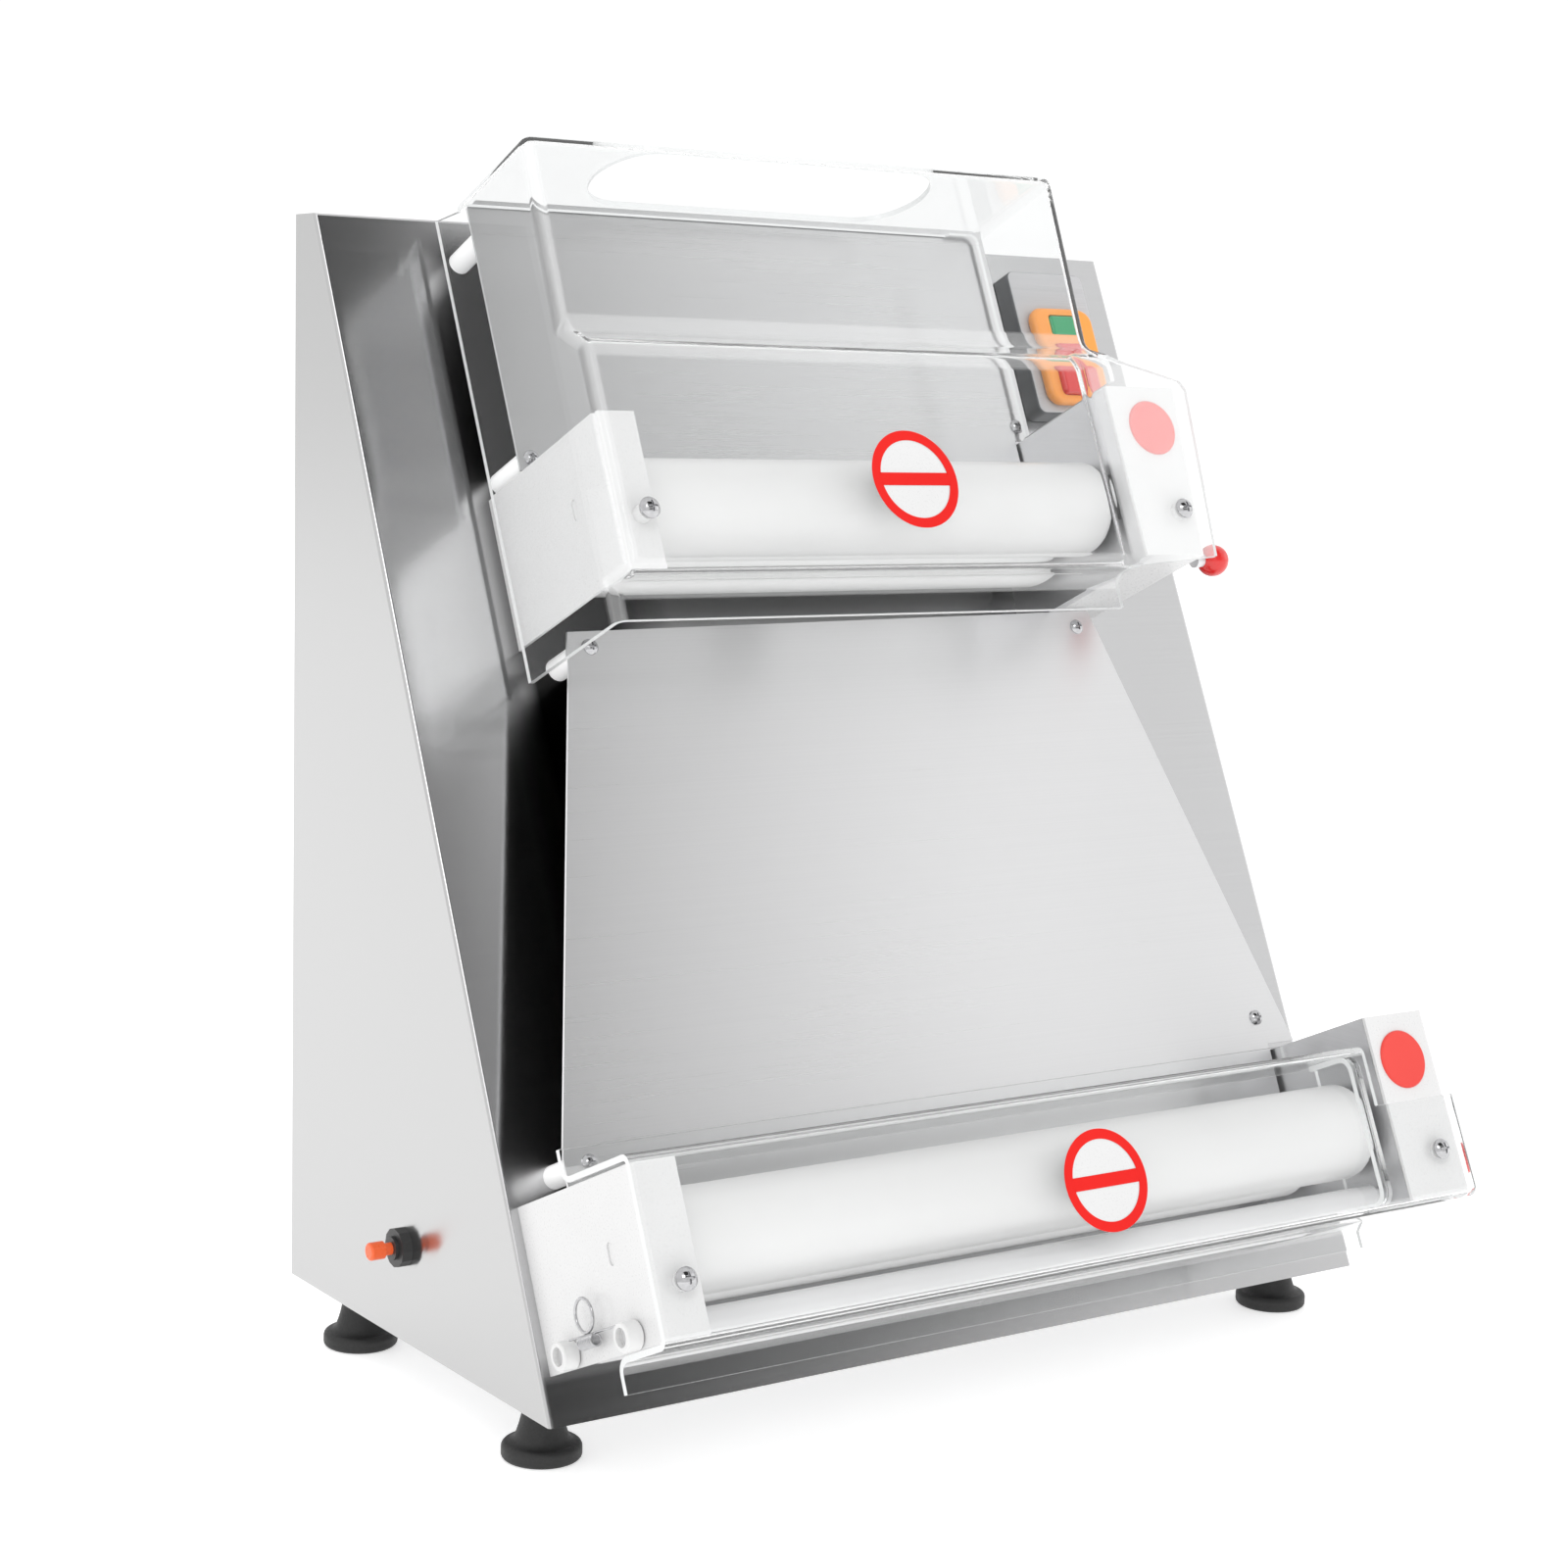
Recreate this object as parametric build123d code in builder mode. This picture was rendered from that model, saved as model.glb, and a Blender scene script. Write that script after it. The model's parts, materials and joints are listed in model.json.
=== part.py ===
"""Two-stage bench dough sheeter: an inclined stainless housing carries two pairs of rollers.

Frame: origin on the floor under the middle of the housing, +X to the operator's right, -Y towards
the operator, +Z up. Units are millimetres. The front face leans back, so most parts are placed in
"face" coordinates: x across, s up along the front face from its bottom edge, n out from the face.
"""
from build123d import *
from math import asin, atan2, cos, degrees, hypot, radians, sin
import os

os.makedirs("parts", exist_ok=True)

# ---------------------------------------------------------------- driving dimensions
BODY_W = 530.0          # housing width
BODY_H = 574.0          # housing height without feet
LEAN = 24.5             # lean of the front face from vertical, degrees
TOP_DEPTH = 22.0        # depth of the narrow top
SKIN = 1.5              # housing sheet
SHEET_BEND = 2.0        # outer radius of the bends round the front face
FOOT_H = 31.0           # rubber foot under the base
FOOT_R = 20.0
FOOT_X = 244.0          # feet either side of the middle
FOOT_INSET = 43.0       # foot centre behind the front bottom edge and before the back

ROLLER_R = 25.75
SHAFT_R = 8.0
GAP_MIN = 0.6           # closest roller gap, the rest position
GAP_TRAVEL = 3.0        # how far the front roller backs off
FIT = 0.05              # running fit, radial
CLEAR = 0.3             # clearance between moving surfaces

GEAR_TEETH = 20
GEAR_W = 12.0
CHAIN_CLEAR = 0.6

GUARD_T = 3.0           # clear guard sheet
GUARD_BEND = 4.0        # inside radius of its bends
SHEET = 2.0             # painted cover sheet
STANDOFF = 34.0         # white standoff length under the guide plates
PLATE_T = 1.5

# upper unit, face coordinates
U_LEFT = -196.6         # outer face of the left cheek
U_RIGHT = 135.4         # roller side of the right end plate
U_COVER_TOP = 187.0     # right side of the gear cover at its top
U_COVER_LOW = 178.0     # and at its bottom
U_S = 432.5             # height of the roller axes along the face
U_REAR_N = 30.0         # rear roller axis out from the face
U_CHEEK = (387.3, 470.4)
U_COVER = (391.6, 491.5)
U_FLANGE_N = 117.5      # front of the cheek flanges

# lower unit
L_LEFT = -259.0
L_RIGHT = 212.2
L_COVER_TOP = 256.8
L_S = 69.5
L_REAR_N = 26.5
L_CHEEK = (24.0, 105.6)
L_COVER = (24.0, 125.0)
L_FLANGE_N = 112.0

SWITCH = (208.0, 567.0)  # switch box centre, across and along the face
BREAKER_Y = 150.2       # breaker behind the front bottom edge
BREAKER_Z = 50.0        # and above the housing's bottom
BREAKER_HOLE_R = 6.2

# ---------------------------------------------------------------- derived
CD = 2 * ROLLER_R + GAP_MIN
MODULE = (CD - 0.1) / GEAR_TEETH
BODY_D = BODY_H * sin(radians(LEAN)) / cos(radians(LEAN)) + TOP_DEPTH
FRONT_Y = -BODY_D / 2
ST = sin(radians(LEAN))
CT = cos(radians(LEAN))
HALF = BODY_W / 2
BACK_Y = FRONT_Y + BODY_D
BREAKER = (FRONT_Y + BREAKER_Y, FOOT_H + BREAKER_Z)


def world(x, s, n):
    """Face coordinates to the model frame."""
    return (x, FRONT_Y + s * ST - n * CT, FOOT_H + s * CT + n * ST)


def face_plane(n=0.0):
    """Plane parallel to the front face: local x across, local y up along the face."""
    return Plane(origin=world(0, 0, n), x_dir=(1, 0, 0), z_dir=(0, -CT, ST))


def side_plane(x):
    """Plane across the machine at x: local x is s, local y is n, normal +X."""
    return Plane(origin=world(x, 0, 0), x_dir=(0, ST, CT), z_dir=(1, 0, 0))


def save(part, name):
    """Label a finished part and write its STEP file."""
    part.label = name
    export_step(part, f"parts/{name}.step")


def plain_block(x0, x1, s0, s1, n0, n1):
    """Box in face coordinates; call inside a BuildPart."""
    with BuildSketch(face_plane(n0)) as footprint:
        with Locations(((x0 + x1) / 2, (s0 + s1) / 2)):
            Rectangle(x1 - x0, s1 - s0)
    extrude(footprint.sketch, amount=n1 - n0)


def rod(x0, x1, s, n, r, mode=Mode.ADD):
    """Round bar along X at (s, n); call inside a BuildPart."""
    with BuildSketch(side_plane(x0)) as section:
        with Locations((s, n)):
            Circle(r)
    extrude(section.sketch, amount=x1 - x0, mode=mode)


# ---------------------------------------------------------------- housing
INNER_TOP = world(0, (BODY_H - SKIN * (1 - ST)) / CT, -SKIN)
INNER_BOTTOM = world(0, -20, -SKIN)
with BuildPart() as housing:
    with BuildSketch(Plane.YZ.offset(-HALF)):
        with BuildLine():
            Polyline(
                (FRONT_Y, FOOT_H),
                (FRONT_Y + BODY_D, FOOT_H),
                (FRONT_Y + BODY_D, FOOT_H + BODY_H),
                (FRONT_Y + BODY_D - TOP_DEPTH, FOOT_H + BODY_H),
                close=True,
            )
        make_face()
    extrude(amount=BODY_W)
    slope_edges = housing.edges().filter_by(lambda e: abs(abs(e.tangent_at(0.5).Z) - CT) < 1e-3)
    top_front = housing.edges().filter_by(Axis.X).group_by(Axis.Z)[-1].sort_by(Axis.Y)[0]
    fillet(slope_edges + [top_front], radius=SHEET_BEND)
    # hollow inside, open at the back and at the bottom
    with BuildSketch(Plane.YZ.offset(-HALF + SKIN)):
        with BuildLine():
            Polyline(
                INNER_BOTTOM[1:],
                (FRONT_Y + BODY_D + 5, FOOT_H - 20),
                (FRONT_Y + BODY_D + 5, FOOT_H + BODY_H - SKIN),
                INNER_TOP[1:],
                close=True,
            )
        make_face()
    extrude(amount=BODY_W - 2 * SKIN, mode=Mode.SUBTRACT)
    # windows under the gear covers, and the switch cut-out
    with BuildSketch(face_plane(5)):
        for gx, gs in ((U_RIGHT + 23, U_S), (L_RIGHT + 23, L_S)):
            with Locations((gx, gs)):
                Rectangle(30, 56)
        with Locations((SWITCH[0], SWITCH[1] - 5)):
            Rectangle(34, 50)
    extrude(amount=-20, mode=Mode.SUBTRACT)
    # breaker hole on the left side
    with BuildSketch(Plane.YZ.offset(-HALF - 5)):
        with Locations(BREAKER):
            Circle(BREAKER_HOLE_R)
    extrude(amount=20, mode=Mode.SUBTRACT)
save(housing.part, "housing")

with BuildPart() as base_plate:
    with BuildSketch(Plane.XY.offset(FOOT_H)):
        with Locations((0, FRONT_Y + BODY_D / 2 + 2)):
            Rectangle(BODY_W - 2 * SKIN - 1, BODY_D - 2 * SKIN - 6)
    extrude(amount=2.0)
    with BuildSketch(Plane.XY.offset(FOOT_H)):
        with GridLocations(2 * FOOT_X, BODY_D - 2 * FOOT_INSET, 2, 2):
            Circle(4.0)
        with Locations((0, 40)):
            with GridLocations(24, 0, 8, 1):
                SlotOverall(60, 6, rotation=90)
    extrude(amount=2.0, mode=Mode.SUBTRACT)
save(base_plate.part, "base_plate")

GLAND_X = 200.0
GLAND_Z = FOOT_H + 62
with BuildPart() as back_cover:
    with BuildSketch(Plane.XZ.offset(-BACK_Y)):
        with Locations((0, FOOT_H + BODY_H / 2)):
            Rectangle(BODY_W - 2 * SKIN - 1, BODY_H - 2 * SKIN - 1)
    extrude(amount=SKIN)
    with BuildSketch(Plane.XZ.offset(-BACK_Y - 5)):
        for vx in (-130, 130):
            with Locations((vx, FOOT_H + 330)):
                with GridLocations(0, 16, 1, 9):
                    SlotOverall(110, 5)
        with Locations((GLAND_X, GLAND_Z)):
            Circle(8.05)
    extrude(amount=20, mode=Mode.SUBTRACT)
save(back_cover.part, "back_cover")

BACK_SCREW_X = (-HALF + 14, 0, HALF - 14)
BACK_SCREW_Z = (FOOT_H + 14, FOOT_H + BODY_H - 14)

with BuildPart() as rubber_feet:
    for fx in (-FOOT_X, FOOT_X):
        for fy in (-(BODY_D / 2 - FOOT_INSET), BODY_D / 2 - FOOT_INSET):
            with BuildSketch(Plane(origin=(fx, fy, 0), x_dir=(1, 0, 0), z_dir=(0, -1, 0))):
                with BuildLine():
                    Line((0, 0), (FOOT_R - 2.5, 0))
                    RadiusArc((FOOT_R - 2.5, 0), (FOOT_R, 2.5), -2.5)
                    Line((FOOT_R, 2.5), (FOOT_R, 5.5))
                    RadiusArc((FOOT_R, 5.5), (FOOT_R - 3.0, 8.5), -3.0)
                    Spline((FOOT_R - 3.0, 8.5), (12.2, 14.5), (10.2, 24.0),
                           tangents=((-1, 0.15), (0, 1)))
                    Line((10.2, 24.0), (10.2, FOOT_H))
                    Line((10.2, FOOT_H), (0, FOOT_H))
                    Line((0, FOOT_H), (0, 0))
                make_face()
            revolve(axis=Axis((fx, fy, 0), (0, 0, 1)))
save(rubber_feet.part, "rubber_feet")

with BuildPart() as foot_studs:
    for fx in (-FOOT_X, FOOT_X):
        for fy in (-(BODY_D / 2 - FOOT_INSET), BODY_D / 2 - FOOT_INSET):
            with BuildSketch(Plane.XY.offset(FOOT_H)):
                with Locations((fx, fy)):
                    Circle(3.9)
            extrude(amount=12)
            with BuildSketch(Plane.XY.offset(FOOT_H + 2)):
                with Locations((fx, fy)):
                    RegularPolygon(6.5, 6, major_radius=False)
            extrude(amount=6.5)
save(foot_studs.part, "foot_studs")

# ---------------------------------------------------------------- guide plates on standoffs
with BuildPart() as upper_guide_plate:
    with BuildSketch(face_plane(STANDOFF)):
        with BuildLine():
            Polyline(
                (-194.0, 620.5), (-188.0, 626.5), (147.0, 627.5), (146.8, 493.5), (134.0, 493.5),
                (134.0, 462.0), (-187.5, 462.0), (-187.5, 473.0), (-194.2, 473.0), close=True)
        make_face()
    extrude(amount=PLATE_T)
save(upper_guide_plate.part, "upper_guide_plate")

with BuildPart() as chute_plate:
    with BuildSketch(face_plane(STANDOFF)):
        with BuildLine():
            Polyline(
                (-186.6, 385.0), (157.0, 389.0), (230.4, 128.5), (210.5, 128.5), (209.5, 98.0),
                (-249.5, 98.0), (-249.5, 121.2), close=True)
        make_face()
    extrude(amount=PLATE_T)
save(chute_plate.part, "chute_plate")

UP_STUDS = [(-186.5, 479.7), (137.5, 502.0)]
BLIND_STUDS = [(-184.0, 606.0), (130.0, 606.0)]     # pressed into the plate, with no screw
CHUTE_STUDS = [(-176.0, 376.5), (146.0, 379.5), (206.5, 144.0), (-236.0, 117.5)]
with BuildPart() as plate_standoffs:
    for px, ps in UP_STUDS + BLIND_STUDS + CHUTE_STUDS:
        with BuildSketch(face_plane(0)):
            with Locations((px, ps)):
                Circle(6.0)
        extrude(amount=STANDOFF)
save(plate_standoffs.part, "plate_standoffs")


def pan_head(x, s, n, r=4.2, h=2.8):
    """Domed cross-recess screw head standing on level n; call inside a BuildPart."""
    dome = h - 0.7
    cap_r = (r * r + dome * dome) / (2 * dome)
    half = asin(r / cap_r) / 2
    o = world(x, s, n)
    with BuildSketch(Plane(origin=o, x_dir=(0, ST, CT), z_dir=(1, 0, 0))) as section:
        with BuildLine():
            Line((0, 0), (r, 0))
            Line((r, 0), (r, 0.7))
            ThreePointArc((r, 0.7), (cap_r * sin(half), h - cap_r + cap_r * cos(half)), (0, h))
            Line((0, h), (0, 0))
        make_face()
    revolve(section.sketch, axis=Axis(o, (0, -CT, ST)))
    with BuildSketch(face_plane(n + h)) as recess:
        with Locations((x, s)):
            Rectangle(r * 1.05, 1.0)
            Rectangle(1.0, r * 1.05)
    extrude(recess.sketch, amount=-1.5, mode=Mode.SUBTRACT)


with BuildPart() as panel_screws:
    for px, ps in UP_STUDS + CHUTE_STUDS:
        pan_head(px, ps, STANDOFF + PLATE_T)
    # flat heads holding the back cover
    for bx in BACK_SCREW_X:
        for bz in BACK_SCREW_Z:
            with BuildSketch(Plane.XZ.offset(-BACK_Y)):
                with Locations((bx, bz)):
                    Circle(4.0)
            extrude(amount=-2.2)
            with BuildSketch(Plane.XZ.offset(-BACK_Y - 2.2)):
                with Locations((bx, bz)):
                    Rectangle(4.4, 0.9)
                    Rectangle(0.9, 4.4)
            extrude(amount=1.2, mode=Mode.SUBTRACT)
save(panel_screws.part, "panel_screws")


# ---------------------------------------------------------------- cheeks, end plates, gear covers
RECESS = 0.7            # depth of the slot pressed into each cheek


def cheek(name, left, s_range, flange_n, flange_w, axis_s, axis_n, slots):
    """Painted left cheek: outer wall with a narrow inward front flange."""
    with BuildPart() as part:
        with BuildSketch(face_plane(0)):
            with BuildLine():
                Polyline(
                    (left, s_range[0]), (left + SHEET, s_range[0]), (left + SHEET, s_range[1]),
                    (left, s_range[1]), close=True)
            make_face()
        extrude(amount=flange_n)
        plain_block(left, left + flange_w, s_range[0], s_range[1], flange_n - SHEET, flange_n)
        front_corner = part.edges().filter_by(lambda e: abs(e.center().X - left) < 1e-3
                                              and abs(e.length - (s_range[1] - s_range[0])) < 1e-3)
        fillet(front_corner.sort_by(Axis.Y)[0], radius=1.9)
        with BuildSketch(side_plane(left - 1)):
            with Locations((axis_s, axis_n)):
                SlotOverall(11, 5)
        extrude(amount=1 + RECESS, mode=Mode.SUBTRACT)
        for hs, hn, hr in slots:
            with BuildSketch(side_plane(left - 1)):
                with Locations((hs, hn)):
                    Circle(hr)
                with Locations(((hs + s_range[0]) / 2 - 1, hn)):
                    Rectangle(hs - s_range[0] + 2, 3.0)
            extrude(amount=SHEET + 2, mode=Mode.SUBTRACT)
    save(part.part, name)


def end_plate(name, x0, thick, s_range, n_max, axis_s, rear_n, front_n, rods):
    """Steel end plate: bore for the rear shaft and a window for the sliding bearing block."""
    with BuildPart() as part:
        plain_block(x0, x0 + thick, s_range[0], s_range[1], 0, n_max)
        with BuildSketch(side_plane(x0 - 1)):
            with Locations((axis_s, rear_n)):
                Circle(SHAFT_R + FIT)
            with Locations((axis_s, front_n + GAP_TRAVEL / 2)):
                Rectangle(BLOCK_S + 2 * CLEAR, BLOCK_N + GAP_TRAVEL + 2 * CLEAR)
            for hs, hn, hr in rods:
                with Locations((hs, hn)):
                    Circle(hr)
        extrude(amount=thick + 2, mode=Mode.SUBTRACT)
    save(part.part, name)


BLOCK_S = 26.0          # sliding bearing block, along the face
BLOCK_N = 28.0          # and out from the face
END_T = 6.0
U_FRONT_N = U_REAR_N + CD
L_FRONT_N = L_REAR_N + CD
SCRAPER_S = 31.0
F_SCR_N = 88.0
R_SCR_N = 27.0
ROD_R = 4.0             # scraper rod journal
cheek("upper_left_cheek", U_LEFT, U_CHEEK, U_FLANGE_N, 21.2, U_S, U_FRONT_N, [])
cheek("lower_left_cheek", L_LEFT, L_CHEEK, L_FLANGE_N, 23.2, L_S, L_FRONT_N,
      [(SCRAPER_S, F_SCR_N, ROD_R + FIT), (SCRAPER_S, R_SCR_N, ROD_R + FIT)])
UL_X = U_LEFT + SHEET
LL_X = L_LEFT + SHEET
end_plate("upper_left_end_plate", UL_X, END_T, (U_S - 34, U_S + 34), U_FLANGE_N - SHEET - 0.2,
          U_S, U_REAR_N, U_FRONT_N, [])
end_plate("lower_left_end_plate", LL_X, END_T, (L_S - 25, L_S + 32), L_FLANGE_N - SHEET - 0.2,
          L_S, L_REAR_N, L_FRONT_N, [])
end_plate("upper_right_end_plate", U_RIGHT, END_T, U_COVER, U_FLANGE_N - SHEET - 0.2,
          U_S, U_REAR_N, U_FRONT_N, [])
end_plate("lower_right_end_plate", L_RIGHT, END_T, L_COVER, L_FLANGE_N - SHEET - 0.2,
          L_S, L_REAR_N, L_FRONT_N,
          [(SCRAPER_S, F_SCR_N, ROD_R + FIT), (SCRAPER_S, R_SCR_N, ROD_R + FIT)])


def gear_cover(name, x_in, x_top, x_low, s_range, flange_n, lever_s, lever_n):
    """Painted box over the gears, open towards the face and towards the end plate."""
    with BuildPart() as part:
        with BuildSketch(face_plane(0)):
            with BuildLine():
                Polyline((x_in, s_range[0]), (x_low, s_range[0]), (x_top, s_range[1]),
                         (x_in, s_range[1]), close=True)
            make_face()
        extrude(amount=flange_n)
        front = part.edges().filter_by(lambda e: abs(e.center().X - (x_top + x_low) / 2) < 1.0)
        fillet(front.sort_by(Axis.Y)[0], radius=3.0)
        with BuildSketch(face_plane(-1)):
            with BuildLine():
                Polyline((x_in + END_T + 0.1, s_range[0] + SHEET), (x_low - SHEET, s_range[0] + SHEET),
                         (x_top - SHEET, s_range[1] - SHEET), (x_in + END_T + 0.1, s_range[1] - SHEET),
                         close=True)
            make_face()
        extrude(amount=flange_n - SHEET + 1, mode=Mode.SUBTRACT)
        with BuildSketch(face_plane(-1)):
            with Locations((x_in + END_T / 2, (s_range[0] + s_range[1]) / 2)):
                Rectangle(END_T + 0.4, s_range[1] - s_range[0] + 4)
        extrude(amount=flange_n - SHEET + 1, mode=Mode.SUBTRACT)
        rod(x_low - 12, x_top + 12, lever_s, lever_n, LEVER_R + FIT, mode=Mode.SUBTRACT)
    save(part.part, name)


LEVER_R = 5.0
gear_cover("upper_gear_cover", U_RIGHT, U_COVER_TOP, U_COVER_LOW, U_COVER, U_FLANGE_N, U_S, U_FRONT_N)
gear_cover("lower_gear_cover", L_RIGHT, L_COVER_TOP, L_COVER_TOP, L_COVER, L_FLANGE_N, L_S, L_FRONT_N)

with BuildPart() as cover_caps:
    for cx, cs, cn in ((161.9, 466.8, U_FLANGE_N), (232.3, 99.5, L_FLANGE_N)):
        for level, rise, slant in ((cn, 0.6, 0), (cn + 0.6, 0.8, 45)):
            with BuildSketch(face_plane(level)):
                with Locations((cx, cs)):
                    Circle(16.0)
            extrude(amount=rise, taper=slant)
save(cover_caps.part, "cover_caps")


# ---------------------------------------------------------------- rollers, shafts and gears
def roller(name, x0, x1, s, n):
    """Plastic barrel with rounded ends, bored for its shaft."""
    with BuildPart() as part:
        rod(x0, x1, s, n, ROLLER_R)
        fillet(part.edges().filter_by(GeomType.CIRCLE), radius=5.0)
        rod(x0 - 1, x1 + 1, s, n, SHAFT_R, mode=Mode.SUBTRACT)
    save(part.part, name)


def spur_profile(s, n, half_step, bore):
    """Spur gear outline about (s, n), turned half a tooth if asked; call inside a BuildSketch."""
    pitch_r = MODULE * GEAR_TEETH / 2
    root_r = pitch_r - 1.2 * MODULE
    tip_r = pitch_r + 0.8 * MODULE
    half_root = 1.0 * MODULE
    half_tip = 0.36 * MODULE
    turn = 180.0 / GEAR_TEETH if half_step else 0.0
    with Locations((s, n)):
        Circle(root_r)
        with PolarLocations(0, GEAR_TEETH, start_angle=90 + turn):
            Polygon((root_r - 1, -half_root), (tip_r, -half_tip), (tip_r, half_tip),
                    (root_r - 1, half_root), align=None)
        Circle(bore, mode=Mode.SUBTRACT)


UNITS = {
    "upper": (UL_X, U_RIGHT, U_S, U_REAR_N, U_FRONT_N),
    "lower": (LL_X, L_RIGHT, L_S, L_REAR_N, L_FRONT_N),
}
for unit, (left_x, right_x, s_axis, rear_n, front_n) in UNITS.items():
    for place, n_axis in (("rear", rear_n), ("front", front_n)):
        roller(f"{unit}_{place}_roller", left_x + END_T + 3, right_x - 4, s_axis, n_axis)
        with BuildPart() as shaft:
            rod(left_x + 0.6, right_x + END_T + 20, s_axis, n_axis, SHAFT_R)
            chamfer(shaft.edges().filter_by(GeomType.CIRCLE), length=0.8)
        save(shaft.part, f"{unit}_{place}_shaft")
        with BuildPart() as gear:
            with BuildSketch(side_plane(right_x + END_T + 5)):
                spur_profile(s_axis, n_axis, place == "front", SHAFT_R)
            extrude(amount=GEAR_W)
        save(gear.part, f"{unit}_{place}_gear")
    # bearing blocks of the front roller, sliding in the windows of the end plates
    with BuildPart() as carriage:
        for bx in (left_x, right_x):
            with BuildSketch(side_plane(bx)):
                with Locations((s_axis, front_n)):
                    Rectangle(BLOCK_S, BLOCK_N)
                    Circle(SHAFT_R + FIT, mode=Mode.SUBTRACT)
            extrude(amount=END_T)
    save(carriage.part, f"{unit}_carriage")

# ---------------------------------------------------------------- idlers and drive inside the housing
IDLER_BORE = 6.0
SPROCKET_R = 13.0
SPROCKET_W = 5.0
HUB_R = 10.0
DRIVE_S = 250.0
DRIVE_N = -95.0
DRIVE_R = 8.0
CHAIN_W = 6.0
CHAIN_T = 4.0
MOTOR_R = 50.0
MOTOR_X = (-120.0, 40.0)
GEARBOX_X = (40.0, 104.0)
BRACKET_X = 104.0
BRACKET_T = 4.0

IDLERS = {}
for unit, (left_x, right_x, s_axis, rear_n, front_n) in UNITS.items():
    IDLERS[unit] = (right_x + END_T + 5, s_axis, rear_n - CD)


def sprocket_profile(s, n):
    """Chain sprocket outline about (s, n); call inside a BuildSketch."""
    with Locations((s, n)):
        Circle(SPROCKET_R)
        with PolarLocations(0, 12):
            Polygon((SPROCKET_R - 1, -2.0), (SPROCKET_R + 2.5, -0.8),
                    (SPROCKET_R + 2.5, 0.8), (SPROCKET_R - 1, 2.0), align=None)


for unit, (gx, s_axis, n_axis) in IDLERS.items():
    with BuildPart() as idler:
        with BuildSketch(side_plane(gx)):
            spur_profile(s_axis, n_axis, True, IDLER_BORE + FIT)
        extrude(amount=GEAR_W)
        with BuildSketch(side_plane(gx + GEAR_W)):
            with Locations((s_axis, n_axis)):
                Circle(HUB_R)
                Circle(IDLER_BORE + FIT, mode=Mode.SUBTRACT)
        extrude(amount=3.0)
        with BuildSketch(side_plane(gx + GEAR_W + 3.0)):
            sprocket_profile(s_axis, n_axis)
            with Locations((s_axis, n_axis)):
                Circle(IDLER_BORE + FIT, mode=Mode.SUBTRACT)
        extrude(amount=SPROCKET_W)
    save(idler.part, f"{unit}_idler_gear")

with BuildPart() as idler_brackets:
    for gx, s_axis, n_axis in IDLERS.values():
        plate_x = gx - 9
        plain_block(plate_x, plate_x + 4, s_axis - 20, s_axis + 20, n_axis - 14, -SKIN)
        plain_block(plate_x - 22, plate_x, s_axis - 20, s_axis + 20, -SKIN - 4, -SKIN)
        rod(plate_x + 4, gx + GEAR_W + 3.0 + SPROCKET_W + 3, s_axis, n_axis, IDLER_BORE)
save(idler_brackets.part, "idler_brackets")

DRIVE_SPROCKETS = {unit: gx + GEAR_W + 3.0 for unit, (gx, _, _) in IDLERS.items()}
with BuildPart() as drive_shaft:
    rod(BRACKET_X + BRACKET_T + 1, DRIVE_SPROCKETS["lower"] + SPROCKET_W + 2, DRIVE_S, DRIVE_N, DRIVE_R)
    for sx in DRIVE_SPROCKETS.values():
        with BuildSketch(side_plane(sx)):
            sprocket_profile(DRIVE_S, DRIVE_N)
        extrude(amount=SPROCKET_W)
        rod(sx - 6, sx, DRIVE_S, DRIVE_N, HUB_R)
save(drive_shaft.part, "drive_shaft")

with BuildPart() as gearmotor:
    rod(MOTOR_X[0], MOTOR_X[1], DRIVE_S, DRIVE_N, MOTOR_R)
    fillet(gearmotor.edges().filter_by(GeomType.CIRCLE).sort_by(Axis.X)[0], radius=8.0)
    plain_block(GEARBOX_X[0], GEARBOX_X[1], DRIVE_S - 42, DRIVE_S + 42, DRIVE_N - 42, DRIVE_N + 42)
    plain_block(-60, 0, DRIVE_S + MOTOR_R - 6, DRIVE_S + MOTOR_R + 16, DRIVE_N - 25, DRIVE_N + 25)
    with BuildSketch(side_plane(MOTOR_X[0] + 22)):
        with Locations((DRIVE_S, DRIVE_N)):
            with PolarLocations(MOTOR_R, 28):
                Rectangle(5, 3)
    extrude(amount=110, mode=Mode.SUBTRACT)
save(gearmotor.part, "gearmotor")

motor_at = world(0, DRIVE_S, DRIVE_N)
with BuildPart() as motor_bracket:
    with BuildSketch(Plane.YZ.offset(BRACKET_X)):
        with BuildLine():
            Polyline((motor_at[1] - 62, FOOT_H + 2), (motor_at[1] + 62, FOOT_H + 2),
                     (motor_at[1] + 62, motor_at[2] + 62), (motor_at[1] - 40, motor_at[2] + 62),
                     close=True)
        make_face()
        with Locations((motor_at[1], motor_at[2])):
            Circle(DRIVE_R + 6, mode=Mode.SUBTRACT)
    extrude(amount=BRACKET_T)
    with BuildSketch(Plane.XY.offset(FOOT_H + 2)):
        with Locations((BRACKET_X + BRACKET_T + 20, motor_at[1])):
            Rectangle(40, 124)
    extrude(amount=BRACKET_T)
save(motor_bracket.part, "motor_bracket")

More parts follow.
